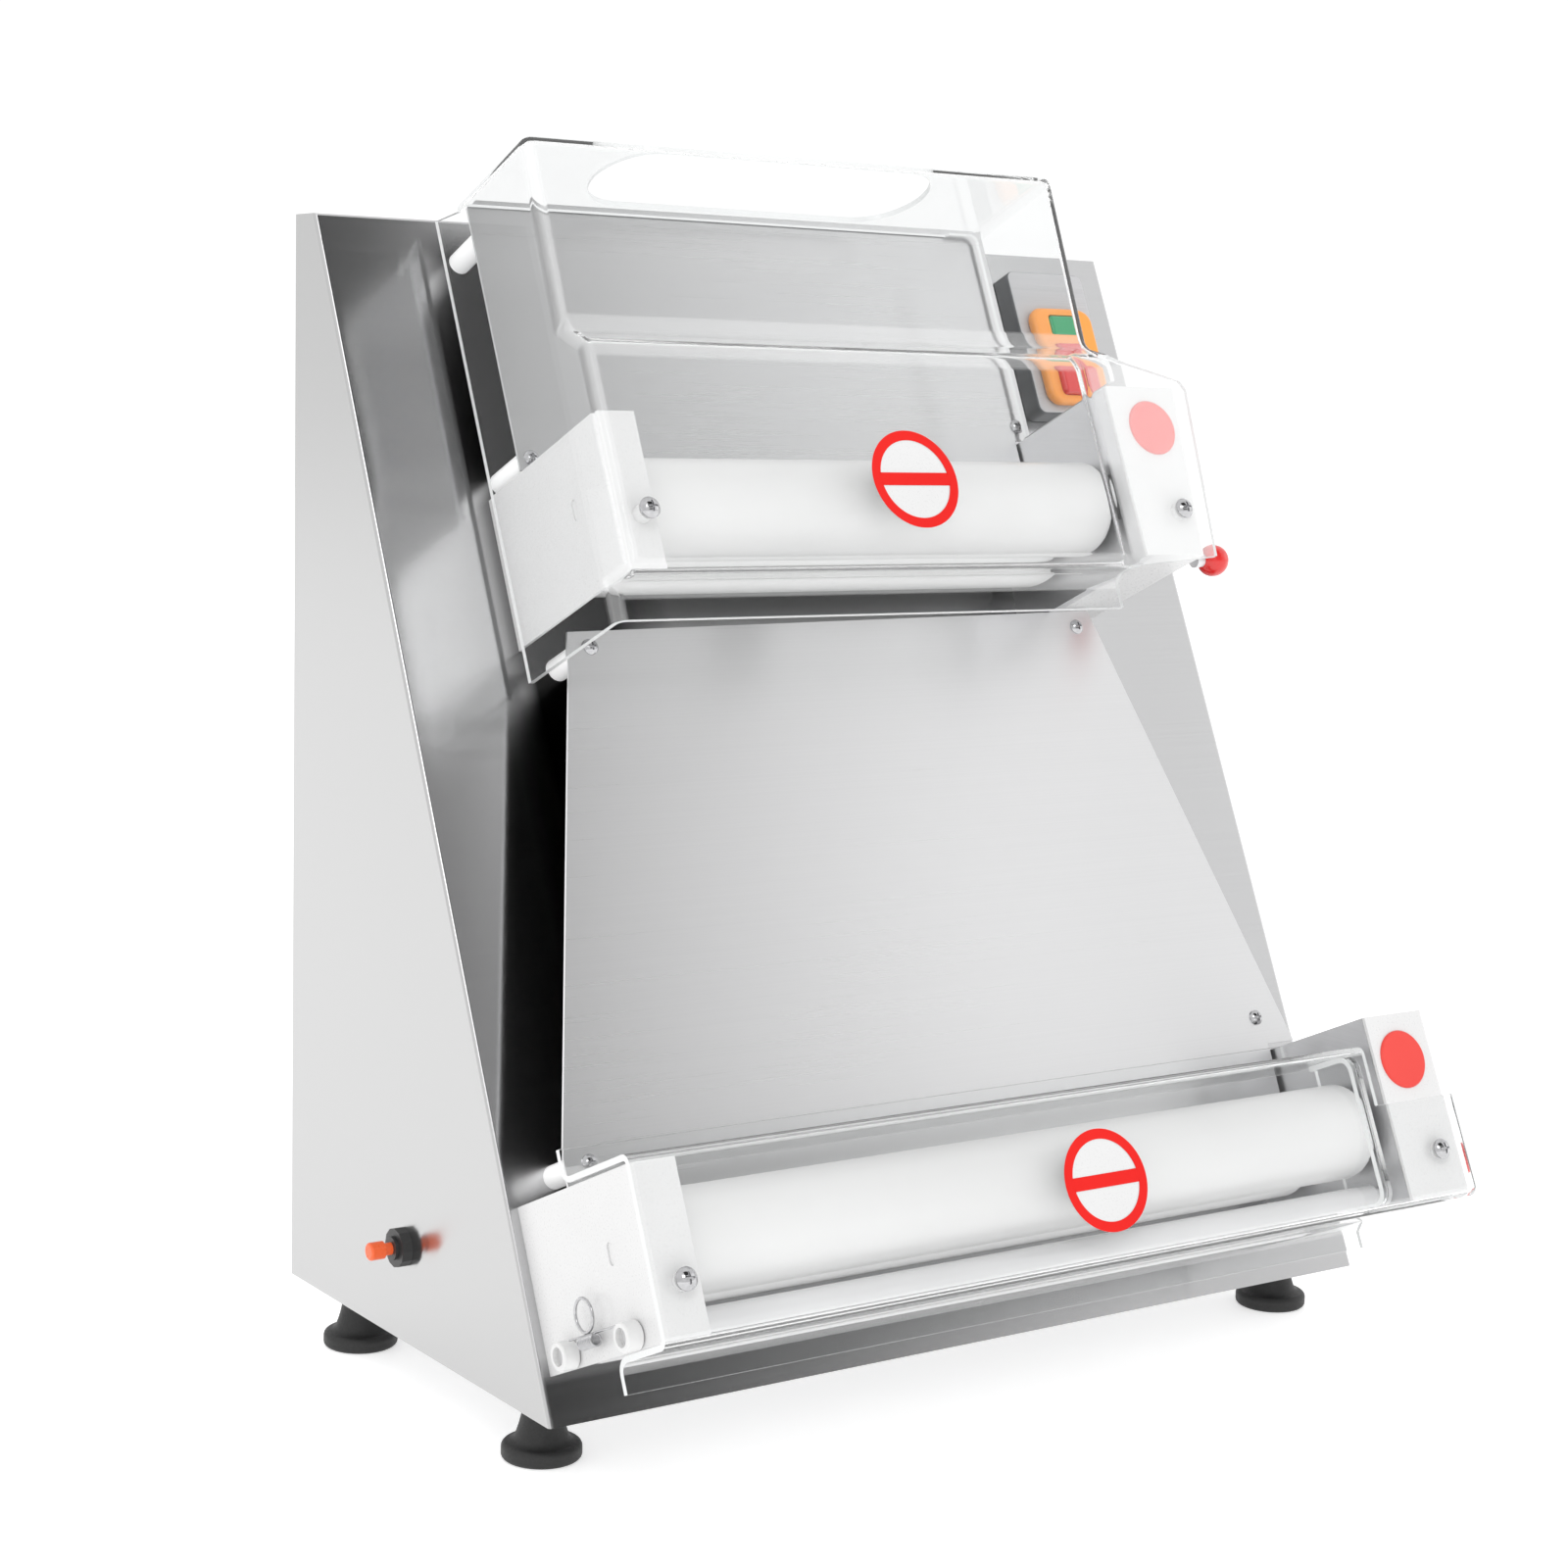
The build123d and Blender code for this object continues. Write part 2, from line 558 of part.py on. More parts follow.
for unit, (gx, s_axis, n_axis) in IDLERS.items():
    centre_in = SPROCKET_R + 2.5 + CHAIN_CLEAR
    run = hypot(s_axis - DRIVE_S, n_axis - DRIVE_N)
    ds = (s_axis - DRIVE_S) / run
    dn = (n_axis - DRIVE_N) / run
    along = Vector(0, ds * ST - dn * CT, ds * CT + dn * ST)
    mid = world(gx + GEAR_W + 3.0 + SPROCKET_W / 2 - CHAIN_W / 2,
                (s_axis + DRIVE_S) / 2, (n_axis + DRIVE_N) / 2)
    with BuildPart() as chain:
        with BuildSketch(Plane(origin=mid, x_dir=along, z_dir=(1, 0, 0))):
            SlotCenterToCenter(run, 2 * (centre_in + CHAIN_T))
            SlotCenterToCenter(run, 2 * centre_in, mode=Mode.SUBTRACT)
        extrude(amount=CHAIN_W)
    save(chain.part, f"{unit}_drive_chain")

# ---------------------------------------------------------------- thickness levers
KNOB_R = 9.0
LEVERS = {
    "upper": (U_COVER_TOP + 1.0, U_S, U_FRONT_N, -37.0, 15.4),
    "lower": (L_COVER_TOP + 4.7, L_S, L_FRONT_N, -25.0, -31.0),
}
for unit, (arm_x, s_axis, n_axis, arm_s, arm_n) in LEVERS.items():
    arm = hypot(arm_s, arm_n)
    end_s = s_axis + arm_s
    end_n = n_axis + arm_n
    with BuildPart() as lever:
        rod(arm_x - 14, arm_x, s_axis, n_axis, LEVER_R)
        rod(arm_x, arm_x + 5, s_axis, n_axis, 9.0)
        with BuildSketch(side_plane(arm_x)):
            with Locations((s_axis + arm_s / 2, n_axis + arm_n / 2)):
                with Locations(Rotation(0, 0, degrees(atan2(arm_n, arm_s)))):
                    SlotCenterToCenter(arm, 8.0)
        extrude(amount=3.0)
        rod(arm_x + 3.0, arm_x + 6.0, end_s, end_n, 3.5)
    save(lever.part, f"{unit}_thickness_lever")
    with BuildPart() as knob:
        with Locations(world(arm_x + 6.0 + KNOB_R - 0.6, end_s, end_n)):
            Sphere(KNOB_R)
        with BuildSketch(side_plane(arm_x)):
            with Locations((end_s, end_n)):
                Circle(KNOB_R * 2)
        extrude(amount=6.0, mode=Mode.SUBTRACT)
    save(knob.part, f"{unit}_lever_knob")

# ---------------------------------------------------------------- scrapers of the lower unit
LEFT_END = L_LEFT - 9.0
ROLL_LEFT = LL_X + END_T + 3
ROLL_RIGHT = L_RIGHT - 4
BAR_R = 6.8
SCRAPERS = {"front": F_SCR_N, "rear": R_SCR_N}
for place, n_axis in SCRAPERS.items():
    with BuildPart() as scraper:
        rod(LEFT_END + 3, L_RIGHT + END_T + 3, SCRAPER_S, n_axis, ROD_R)
        rod(ROLL_LEFT, ROLL_RIGHT, SCRAPER_S, n_axis, BAR_R)
        fillet(scraper.edges().filter_by(
            lambda e: e.geom_type == GeomType.CIRCLE and abs(e.radius - BAR_R) < 0.01), radius=2.4)
    save(scraper.part, f"{place}_scraper")

COLLAR_R = 7.0
for place, n_axis in SCRAPERS.items():
    with BuildPart() as collar:
        rod(LEFT_END, L_LEFT - 0.4, SCRAPER_S, n_axis, COLLAR_R)
        rod(LEFT_END + 3, L_LEFT, SCRAPER_S, n_axis, ROD_R, mode=Mode.SUBTRACT)
        rod(LEFT_END - 1, LEFT_END + 3, SCRAPER_S, n_axis, 4.6, mode=Mode.SUBTRACT)
        chamfer(collar.edges().filter_by(
            lambda e: e.geom_type == GeomType.CIRCLE and abs(e.radius - COLLAR_R) < 0.01), length=0.6)
    save(collar.part, f"{place}_scraper_collar")

SPRING_X = L_LEFT - 5.5
SPRING_S = SCRAPER_S + 3.0
COIL_N = (44.0, 62.0)
RING_R = 8.0
RING_AT = Vector(world(SPRING_X, SPRING_S + 3.4 + RING_R, 53.0))
RING_UP = Vector(0, ST, CT)
RING_NORMAL = Vector(1, 0, 0)
with BuildPart() as scraper_spring:
    with BuildSketch(Plane(origin=world(SPRING_X, SPRING_S, COIL_N[0]), x_dir=(1, 0, 0), z_dir=(0, -CT, ST))):
        Circle(3.6)
        Circle(2.6, mode=Mode.SUBTRACT)
    extrude(amount=COIL_N[1] - COIL_N[0])
    for n_from, n_to in ((R_SCR_N + COLLAR_R + 0.6, COIL_N[0] + 1),
                         (COIL_N[1] - 1, F_SCR_N - COLLAR_R - 0.6)):
        with BuildSketch(Plane(origin=world(SPRING_X, SPRING_S + 3.0, n_from), x_dir=(1, 0, 0),
                               z_dir=(0, -CT, ST))):
            Circle(0.8)
        extrude(amount=n_to - n_from)
    # wire pull ring that unhooks the spring
    with BuildSketch(Plane(origin=RING_AT + RING_UP * RING_R, x_dir=RING_UP,
                           z_dir=RING_NORMAL.cross(RING_UP))):
        Circle(0.8)
    revolve(axis=Axis(RING_AT, RING_NORMAL))
save(scraper_spring.part, "scraper_spring")


# ---------------------------------------------------------------- clear guards
def offset_path(points, t):
    """Shift an open path sideways by t (to its left), with mitred corners."""
    out = []
    for i, p in enumerate(points):
        normals = []
        for a, b in ((i - 1, i), (i, i + 1)):
            if a >= 0 and b < len(points):
                dx = points[b][0] - points[a][0]
                dy = points[b][1] - points[a][1]
                size = hypot(dx, dy)
                normals.append((-dy / size, dx / size))
        nx = sum(v[0] for v in normals)
        ny = sum(v[1] for v in normals)
        scale = t * 2 / (nx * nx + ny * ny) if len(normals) == 2 else t
        out.append((p[0] + nx * scale, p[1] + ny * scale))
    return out


def bend_radii(points, left_r, right_r):
    """Corner radii of an open path: left_r where it turns left, right_r where it turns right."""
    radii = []
    for a, b, c in zip(points, points[1:], points[2:]):
        cross = (b[0] - a[0]) * (c[1] - b[1]) - (b[1] - a[1]) * (c[0] - b[0])
        radii.append(left_r if cross > 0 else right_r)
    return radii


def bent_sheet(points, x0, x1):
    """Guard sheet bent along points in the (s, n) plane; call inside a BuildPart."""
    inner = offset_path(points, GUARD_T)
    with BuildSketch(side_plane(x0)) as section:
        with BuildLine():
            FilletPolyline(*points, radius=bend_radii(points, GUARD_BEND + GUARD_T, GUARD_BEND))
            FilletPolyline(*inner, radius=bend_radii(points, GUARD_BEND, GUARD_BEND + GUARD_T))
            Line(points[0], inner[0])
            Line(points[-1], inner[-1])
        make_face()
    extrude(section.sketch, amount=x1 - x0)


def guard_wall(points, closing, x0):
    """Flat guard side wall: the bent outline points closed through the closing points."""
    with BuildSketch(side_plane(x0)) as outline:
        with BuildLine():
            FilletPolyline(*points, radius=bend_radii(points, GUARD_BEND + GUARD_T, GUARD_BEND))
            Polyline(points[-1], *closing, points[0])
        make_face()
    extrude(outline.sketch, amount=GUARD_T)


GU_LEFT = -202.0
GU_FACE = 127.0
GU_STEP = 124.0
GU_RIGHT = 141.0         # right wall of the upper box
GU_BACK = 12.0          # back edge of the left wall
U_GUARD = [(624.0, 36.3), (624.0, 113.5), (520.0, 109.0), (503.0, GU_FACE), (383.5, GU_FACE),
           (383.5, 106.0), (366.0, 106.0)]
U_BOX = [(624.0, 39.0)] + U_GUARD[1:3] + [(506.0, 124.0)]
with BuildPart() as upper_guard:
    bent_sheet(U_GUARD, GU_LEFT, 120.0)
    # the upper box runs on a little further right
    bent_sheet(U_BOX, 119.0, GU_RIGHT)
    # right facet over the gear cover flange, joggled back
    with BuildSketch(face_plane(GU_STEP - GUARD_T)):
        with BuildLine():
            Polyline((116.5, 386.0), (180.5, 388.5), (189.5, 488.0), (186.0, 493.5), (150.0, 503.0),
                     (GU_RIGHT, 508.0), (116.5, 508.0), close=True)
        make_face()
    extrude(amount=GUARD_T)
    # side walls
    guard_wall(U_GUARD, [(366.0, GU_BACK), (624.0, GU_BACK)], GU_LEFT)
    guard_wall(U_BOX, [(493.5, 123.0), (493.5, 39.0)], GU_RIGHT - GUARD_T)
    # feed opening in the top
    with BuildSketch(Plane(origin=world(-34.3, 600.0, 76.7), x_dir=(1, 0, 0), z_dir=(0, ST, CT))):
        SlotOverall(213.0, 59.5)
    extrude(amount=60, mode=Mode.SUBTRACT)
save(upper_guard.part, "upper_guard")

GL_LEFT = -263.0
GL_FACE = 117.5
L_GUARD = [(109.5, 54.5), (109.5, GL_FACE), (20.5, GL_FACE), (19.0, 75.5), (6.0, 75.5)]
with BuildPart() as lower_guard:
    bent_sheet(L_GUARD, GL_LEFT, 200.0)
    plain_block(GL_LEFT, 205.0, 106.5, 123.0, 54.5, 57.5)
    plain_block(196.5, 260.0, 20.0, 76.5, GL_FACE - 1.0 - GUARD_T, GL_FACE - 1.0)
    plain_block(257.8, 260.8, 20.0, 76.5, 90.0, GL_FACE - 1.0)
    plain_block(196.5, 260.8, 19.8, 22.8, 75.5, GL_FACE - 1.0)
    plain_block(196.5, 236.0, 6.0, 20.0, 72.5, 75.5)
save(lower_guard.part, "lower_guard")

GUARD_SCREWS = [
    (-184.0, 415.8, U_FLANGE_N, GU_FACE), (165.0, 416.6, U_FLANGE_N, GU_STEP),
    (-245.8, 49.6, L_FLANGE_N, GL_FACE), (239.1, 47.9, L_FLANGE_N, GL_FACE - 1.0),
]
with BuildPart() as guard_spacers:
    for x, s, flange, outer in GUARD_SCREWS:
        with BuildSketch(face_plane(flange)):
            with Locations((x, s)):
                Circle(4.8)
        extrude(amount=outer - GUARD_T - flange)
save(guard_spacers.part, "guard_spacers")

with BuildPart() as guard_screws:
    for x, s, flange, outer in GUARD_SCREWS:
        pan_head(x, s, outer, r=5.6, h=3.6)
save(guard_screws.part, "guard_screws")

# ---------------------------------------------------------------- switch, breaker and cable gland
SW_SIZE = (58.0, 92.0)
SW_N = 14.0
with BuildPart() as switch_housing:
    with BuildSketch(face_plane(0)):
        with Locations(SWITCH):
            RectangleRounded(SW_SIZE[0], SW_SIZE[1], 5)
    extrude(amount=SW_N)
    fillet(switch_housing.faces().sort_by(Axis.Y)[0].edges(), radius=1.5)
    with BuildSketch(face_plane(SW_N - 8)):
        with Locations((SWITCH[0], SWITCH[1] + 7.5)):
            RectangleRounded(22.6, 14.6, 2.3)
        with Locations((SWITCH[0], SWITCH[1] - 24.0)):
            RectangleRounded(28.6, 26.6, 3.3)
    extrude(amount=20, mode=Mode.SUBTRACT)
    with BuildSketch(face_plane(0)):
        with Locations((SWITCH[0], SWITCH[1] - 5)):
            Rectangle(32, 48)
    extrude(amount=-28)
save(switch_housing.part, "switch_housing")

with BuildPart() as switch_bezel:
    with BuildSketch(face_plane(SW_N)):
        with Locations((SWITCH[0], SWITCH[1] - 11.0)):
            RectangleRounded(46, 62, 9)
    extrude(amount=7.0)
    fillet(switch_bezel.faces().sort_by(Axis.Y)[0].edges(), radius=3.0)
    with BuildSketch(face_plane(SW_N - 1)):
        with Locations((SWITCH[0], SWITCH[1] + 7.5)):
            RectangleRounded(22.6, 14.6, 2.3)
        with Locations((SWITCH[0], SWITCH[1] - 24.0)):
            RectangleRounded(28.6, 26.6, 3.3)
    extrude(amount=20, mode=Mode.SUBTRACT)
save(switch_bezel.part, "switch_bezel")

for name, s_at, size, height in (("start_button", SWITCH[1] + 7.5, (22.0, 14.0), 8.0),
                                 ("stop_button", SWITCH[1] - 24.0, (28.0, 26.0), 10.5)):
    with BuildPart() as button:
        with BuildSketch(face_plane(SW_N - 4.5)):
            with Locations((SWITCH[0], s_at)):
                RectangleRounded(size[0], size[1], 3.0)
        extrude(amount=4.5 + height)
        fillet(button.faces().sort_by(Axis.Y)[0].edges(), radius=2.0)
    save(button.part, name)


def side_disc(x_from, x_to, r, mode=Mode.ADD, sides=0):
    """Round or hexagonal disc on the left side at the breaker; call inside a BuildPart."""
    with BuildSketch(Plane.YZ.offset(x_from)) as section:
        with Locations(BREAKER):
            if sides:
                RegularPolygon(r, sides, major_radius=False)
            else:
                Circle(r)
    extrude(section.sketch, amount=x_to - x_from, mode=mode)


with BuildPart() as breaker_body:
    side_disc(-HALF - 7.5, -HALF, 6.1)
    with BuildSketch(Plane.YZ.offset(-HALF + SKIN)):
        with Locations(BREAKER):
            Rectangle(20, 30)
    extrude(amount=34)
    side_disc(-HALF, -HALF + SKIN, 6.1)
    # fixing nut outside the housing
    side_disc(-HALF - 5.5, -HALF, 9.8, sides=12)
    side_disc(-HALF - 8, -HALF + 18, 3.2 + FIT, mode=Mode.SUBTRACT)
save(breaker_body.part, "breaker_body")

with BuildPart() as reset_button:
    side_disc(-HALF - 12.0, -HALF + 12, 3.2)
    side_disc(-HALF - 20.0, -HALF - 12.0, 4.6)
    fillet(reset_button.faces().sort_by(Axis.X)[0].edges(), radius=1.2)
save(reset_button.part, "reset_button")

with BuildPart() as cable_gland:
    with BuildSketch(Plane.XZ.offset(-BACK_Y)):
        with Locations((GLAND_X, GLAND_Z)):
            RegularPolygon(12.0, 6, major_radius=False)
    extrude(amount=-6)
    with BuildSketch(Plane.XZ.offset(-BACK_Y - 6)):
        with Locations((GLAND_X, GLAND_Z)):
            Circle(9.5)
    extrude(amount=-12, taper=14)
    with BuildSketch(Plane.XZ.offset(-BACK_Y + SKIN + 6)):
        with Locations((GLAND_X, GLAND_Z)):
            Circle(8.0)
    extrude(amount=-SKIN - 6)
    with BuildSketch(Plane.XZ.offset(-BACK_Y + SKIN + 7)):
        with Locations((GLAND_X, GLAND_Z)):
            Circle(3.6)
    extrude(amount=-60, mode=Mode.SUBTRACT)
save(cable_gland.part, "cable_gland")
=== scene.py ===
"""Looks for a two-stage bench dough sheeter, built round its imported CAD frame."""
import json
from math import cos, pi, radians, sin

import bmesh
import bpy
from mathutils import Matrix, Vector

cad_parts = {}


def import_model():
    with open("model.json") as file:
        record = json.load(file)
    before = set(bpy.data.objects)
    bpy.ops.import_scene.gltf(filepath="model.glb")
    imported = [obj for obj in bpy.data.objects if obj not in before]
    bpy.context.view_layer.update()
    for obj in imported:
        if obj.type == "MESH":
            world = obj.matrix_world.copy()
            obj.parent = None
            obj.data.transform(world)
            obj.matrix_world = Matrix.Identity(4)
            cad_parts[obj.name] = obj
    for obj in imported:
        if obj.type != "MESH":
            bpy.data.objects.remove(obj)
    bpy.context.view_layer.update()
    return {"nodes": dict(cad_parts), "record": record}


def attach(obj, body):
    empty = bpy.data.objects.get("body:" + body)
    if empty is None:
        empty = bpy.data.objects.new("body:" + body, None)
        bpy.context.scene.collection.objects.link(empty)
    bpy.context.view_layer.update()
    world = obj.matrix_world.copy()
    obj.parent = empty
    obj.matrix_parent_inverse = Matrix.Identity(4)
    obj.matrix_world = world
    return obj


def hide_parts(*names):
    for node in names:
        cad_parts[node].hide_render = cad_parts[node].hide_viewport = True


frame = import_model()
nodes = frame["nodes"]
scene = bpy.context.scene

# ---------------------------------------------------------------- face coordinates of the CAD
LEAN = radians(24.5)
ST, CT = sin(LEAN), cos(LEAN)
BODY_D = 0.574 * ST / CT + 0.022
FRONT_Y = -BODY_D / 2
FOOT_H = 0.031


def world(x, s, n):
    """Across, up the front face and out from it, in metres, to the shared frame."""
    return Vector((x, FRONT_Y + s * ST - n * CT, FOOT_H + s * CT + n * ST))


# ---------------------------------------------------------------- material helpers
def new_material(name):
    mat = bpy.data.materials.new(name)
    mat.use_nodes = True
    tree = mat.node_tree
    bsdf = tree.nodes["Principled BSDF"]
    return mat, tree, bsdf


def object_coords(tree, scale):
    """Object coordinates in metres through a Mapping node with the given scale."""
    coords = tree.nodes.new("ShaderNodeTexCoord")
    mapping = tree.nodes.new("ShaderNodeMapping")
    mapping.inputs["Scale"].default_value = scale
    tree.links.new(coords.outputs["Object"], mapping.inputs["Vector"])
    return mapping.outputs["Vector"]


def noise(tree, vector, scale, detail=3.0, rough=0.5):
    node = tree.nodes.new("ShaderNodeTexNoise")
    node.inputs["Scale"].default_value = scale
    node.inputs["Detail"].default_value = detail
    node.inputs["Roughness"].default_value = rough
    tree.links.new(vector, node.inputs["Vector"])
    return node.outputs["Fac"]


def ramp(tree, fac, low, high):
    """Blend from low to high as fac runs 0..1; each is a colour or the output of another node."""
    node = tree.nodes.new("ShaderNodeMix")
    node.data_type = "RGBA"
    tree.links.new(fac, node.inputs["Factor"])
    for socket, colour in (("A", low), ("B", high)):
        if isinstance(colour, tuple):
            node.inputs[socket].default_value = (*colour, 1)
        else:
            tree.links.new(colour, node.inputs[socket])
    return node.outputs["Result"]


def map_range(tree, value, from_min, from_max, to_min, to_max):
    node = tree.nodes.new("ShaderNodeMapRange")
    tree.links.new(value, node.inputs["Value"])
    node.inputs["From Min"].default_value = from_min
    node.inputs["From Max"].default_value = from_max
    node.inputs["To Min"].default_value = to_min
    node.inputs["To Max"].default_value = to_max
    return node.outputs["Result"]


def maths(tree, operation, first, second):
    node = tree.nodes.new("ShaderNodeMath")
    node.operation = operation
    tree.links.new(first, node.inputs[0])
    tree.links.new(second, node.inputs[1])
    return node.outputs[0]


def face_axis(tree, direction):
    """Distance along a direction, and its value at the foot of the face."""
    node = tree.nodes.new("ShaderNodeVectorMath")
    node.operation = "DOT_PRODUCT"
    tree.links.new(object_coords(tree, (1, 1, 1)), node.inputs[0])
    node.inputs[1].default_value = direction
    return node.outputs["Value"], world(0, 0, 0).dot(Vector(direction))


def bump(tree, bsdf, height, strength, distance):
    node = tree.nodes.new("ShaderNodeBump")
    node.inputs["Strength"].default_value = strength
    node.inputs["Distance"].default_value = distance
    tree.links.new(height, node.inputs["Height"])
    tree.links.new(node.outputs["Normal"], bsdf.inputs["Normal"])


def brushed(name, low, high, grain, rough=(0.26, 0.40), bump_strength=0.12, spread=0.0):
    """Brushed sheet: the grain scale stretches the streaks along one axis, spread smears gloss upright."""
    mat, tree, bsdf = new_material(name)
    fine = noise(tree, object_coords(tree, grain), 1.0, 4.0, 0.6)
    broad = noise(tree, object_coords(tree, (3.0, 3.0, 3.0)), 1.0, 2.0)
    tree.links.new(ramp(tree, map_range(tree, fine, 0.3, 0.7, 0, 1), low, high), bsdf.inputs["Base Color"])
    both = maths(tree, "ADD", fine, broad)
    tree.links.new(map_range(tree, both, 0.6, 1.4, *rough), bsdf.inputs["Roughness"])
    bsdf.inputs["Metallic"].default_value = 1.0
    if spread:
        upright = tree.nodes.new("ShaderNodeCombineXYZ")
        upright.inputs["Z"].default_value = 1.0
        tree.links.new(upright.outputs["Vector"], bsdf.inputs["Tangent"])
        bsdf.inputs["Anisotropic"].default_value = spread
    bump(tree, bsdf, fine, bump_strength, 0.0002)
    return mat


def painted(name, low, high, rough, peel=0.05, coat=0.0):
    """Paint or moulded plastic: a slight colour drift and an orange-peel surface."""
    mat, tree, bsdf = new_material(name)
    drift = noise(tree, object_coords(tree, (9, 9, 9)), 1.0, 3.0)
    tree.links.new(ramp(tree, map_range(tree, drift, 0.3, 0.7, 0, 1), low, high), bsdf.inputs["Base Color"])
    skin = noise(tree, object_coords(tree, (900, 900, 900)), 1.0, 2.0)
    tree.links.new(map_range(tree, skin, 0.3, 0.7, rough * 0.85, rough * 1.15), bsdf.inputs["Roughness"])
    bsdf.inputs["Coat Weight"].default_value = coat
    bsdf.inputs["Coat Roughness"].default_value = 0.06
    bump(tree, bsdf, skin, peel, 0.0002)
    return mat


def clear_sheet(name):
    """Clear polished plastic sheet that bends light, with the faintest drift of tint."""
    mat, tree, bsdf = new_material(name)
    drift = noise(tree, object_coords(tree, (25, 25, 25)), 1.0, 2.0)
    tree.links.new(ramp(tree, drift, (0.945, 0.950, 0.950), (0.960, 0.965, 0.965)), bsdf.inputs["Base Color"])
    bsdf.inputs["Transmission Weight"].default_value = 1.0
    bsdf.inputs["Roughness"].default_value = 0.0
    bsdf.inputs["IOR"].default_value = 1.2
    bsdf.inputs["Specular IOR Level"].default_value = 0.25
    return mat


def set_inputs(mat, **values):
    """Set uniform values on a material's shader sockets; underscores in a name stand for spaces."""
    inputs = mat.node_tree.nodes["Principled BSDF"].inputs
    for name, value in values.items():
        inputs[name.replace("_", " ")].default_value = value


def reflection_veil_sheet(name, clarity):
    """The same sheet with painted reflection: part of its light is diffused white, a veil standing in for the
    studio it mirrors; its gloss is real.
    """
    mat = clear_sheet(name)
    set_inputs(mat, Transmission_Weight=clarity, Roughness=0.05)
    return mat


def two_tone(name, sides, face, level, rough):
    """Moulding whose front, beyond a level out from the machine's face, is a lighter brushed plate."""
    mat, tree, bsdf = new_material(name)
    out, base = face_axis(tree, (0, -CT, ST))
    front = map_range(tree, out, base + level - 0.0002, base + level, 0, 1)
    grain = noise(tree, object_coords(tree, (8, 1200, 1200)), 1.0, 3.0)
    tint = ramp(tree, map_range(tree, grain, 0.3, 0.7, 0, 1), face, tuple(c * 1.12 for c in face))
    tree.links.new(ramp(tree, front, sides, tint), bsdf.inputs["Base Color"])
    bsdf.inputs["Roughness"].default_value = rough
    bump(tree, bsdf, grain, 0.05, 0.0002)
    return mat


def paint_shade(mat, grey, limits):
    """Painted shade: a darker tone on a sheet standing in for shade and dark reflections, faded in from each
    limit's first value to its second.

    A limit is (axis, from, to) in metres: "x" runs across the face, "s" up it and "n" out of it.
    """
    tree = mat.node_tree
    bsdf = tree.nodes["Principled BSDF"]
    axes = {"x": (1, 0, 0), "s": (0, ST, CT), "n": (0, -CT, ST)}
    shade = None
    for axis, low, high in limits:
        value, start = face_axis(tree, axes[axis])
        step = map_range(tree, value, start + low, start + high, 0, 1)
        shade = step if shade is None else maths(tree, "MULTIPLY", shade, step)
    base = bsdf.inputs["Base Color"].links[0].from_socket
    tree.links.new(ramp(tree, shade, base, (grey,) * 3), bsdf.inputs["Base Color"])


# ---------------------------------------------------------------- materials
steel_plate = brushed("brushed_stainless_plate", (0.665, 0.665, 0.67), (0.685, 0.685, 0.69), (3, 1800, 1800),
                      (0.27, 0.29), 0.003, 0.8)
steel_body_painted_shade = brushed("brushed_stainless_body_painted_shade", (0.55, 0.55, 0.555), (0.565, 0.565, 0.57), (5, 5, 900),
                     (0.165, 0.185), 0.004, 0.85)
# limit that keeps the painted shade on the sloping face
SHADE_ON_FACE_ONLY = ("n", -0.006, -0.002)
# painted shade: nearly black in the gap beside the plates, where shade falls, then a darker foot of the face
# and a darker left side panel
paint_shade(steel_body_painted_shade, 0.02, (("x", -0.210, -0.190), ("x", -0.100, -0.140), ("s", 0.10, 0.13),
                         ("s", 0.628, 0.610), SHADE_ON_FACE_ONLY))
# painted shade: darker towards the left end and the foot of the face, under the lower guard
paint_shade(steel_body_painted_shade, 0.10, (("x", -0.2645, -0.2620), ("x", 0.30, -0.27), ("s", 0.034, 0.020), SHADE_ON_FACE_ONLY))
# painted shade: the left side panel a darker tone, for how the light falls on that side
paint_shade(steel_body_painted_shade, 0.505, (("x", -0.2640, -0.2648),))
machined = brushed("machined_steel", (0.66, 0.66, 0.67), (0.70, 0.70, 0.71), (20, 20, 1500),
                   (0.34, 0.38), 0.01)
screw_steel = brushed("screw_steel", (0.42, 0.42, 0.43), (0.52, 0.52, 0.53), (400, 400, 400),
                      (0.07, 0.10), 0.02)
white_paint = painted("white_enamel", (0.67, 0.67, 0.67), (0.71, 0.71, 0.71), 0.30, 0.04, 0.2)
white_plastic = painted("white_acetal", (0.69, 0.69, 0.688), (0.73, 0.73, 0.728), 0.34, 0.05)
set_inputs(white_plastic, Subsurface_Weight=0.15, Subsurface_Radius=(0.004, 0.004, 0.004))
reset_red = painted("reset_button_red", (0.80, 0.09, 0.02), (0.88, 0.13, 0.03), 0.3, 0.02)
red_gloss = painted("red_moulding", (0.62, 0.010, 0.010), (0.70, 0.016, 0.014), 0.16, 0.01, 0.5)
red_print = painted("red_print", (0.70, 0.010, 0.008), (0.76, 0.014, 0.010), 0.45, 0.01)
set_inputs(red_print, Specular_IOR_Level=0.15)
standoff_glow = painted("white_standoff_painted_glow", (0.90, 0.90, 0.90), (0.95, 0.95, 0.95), 0.34, 0.02)
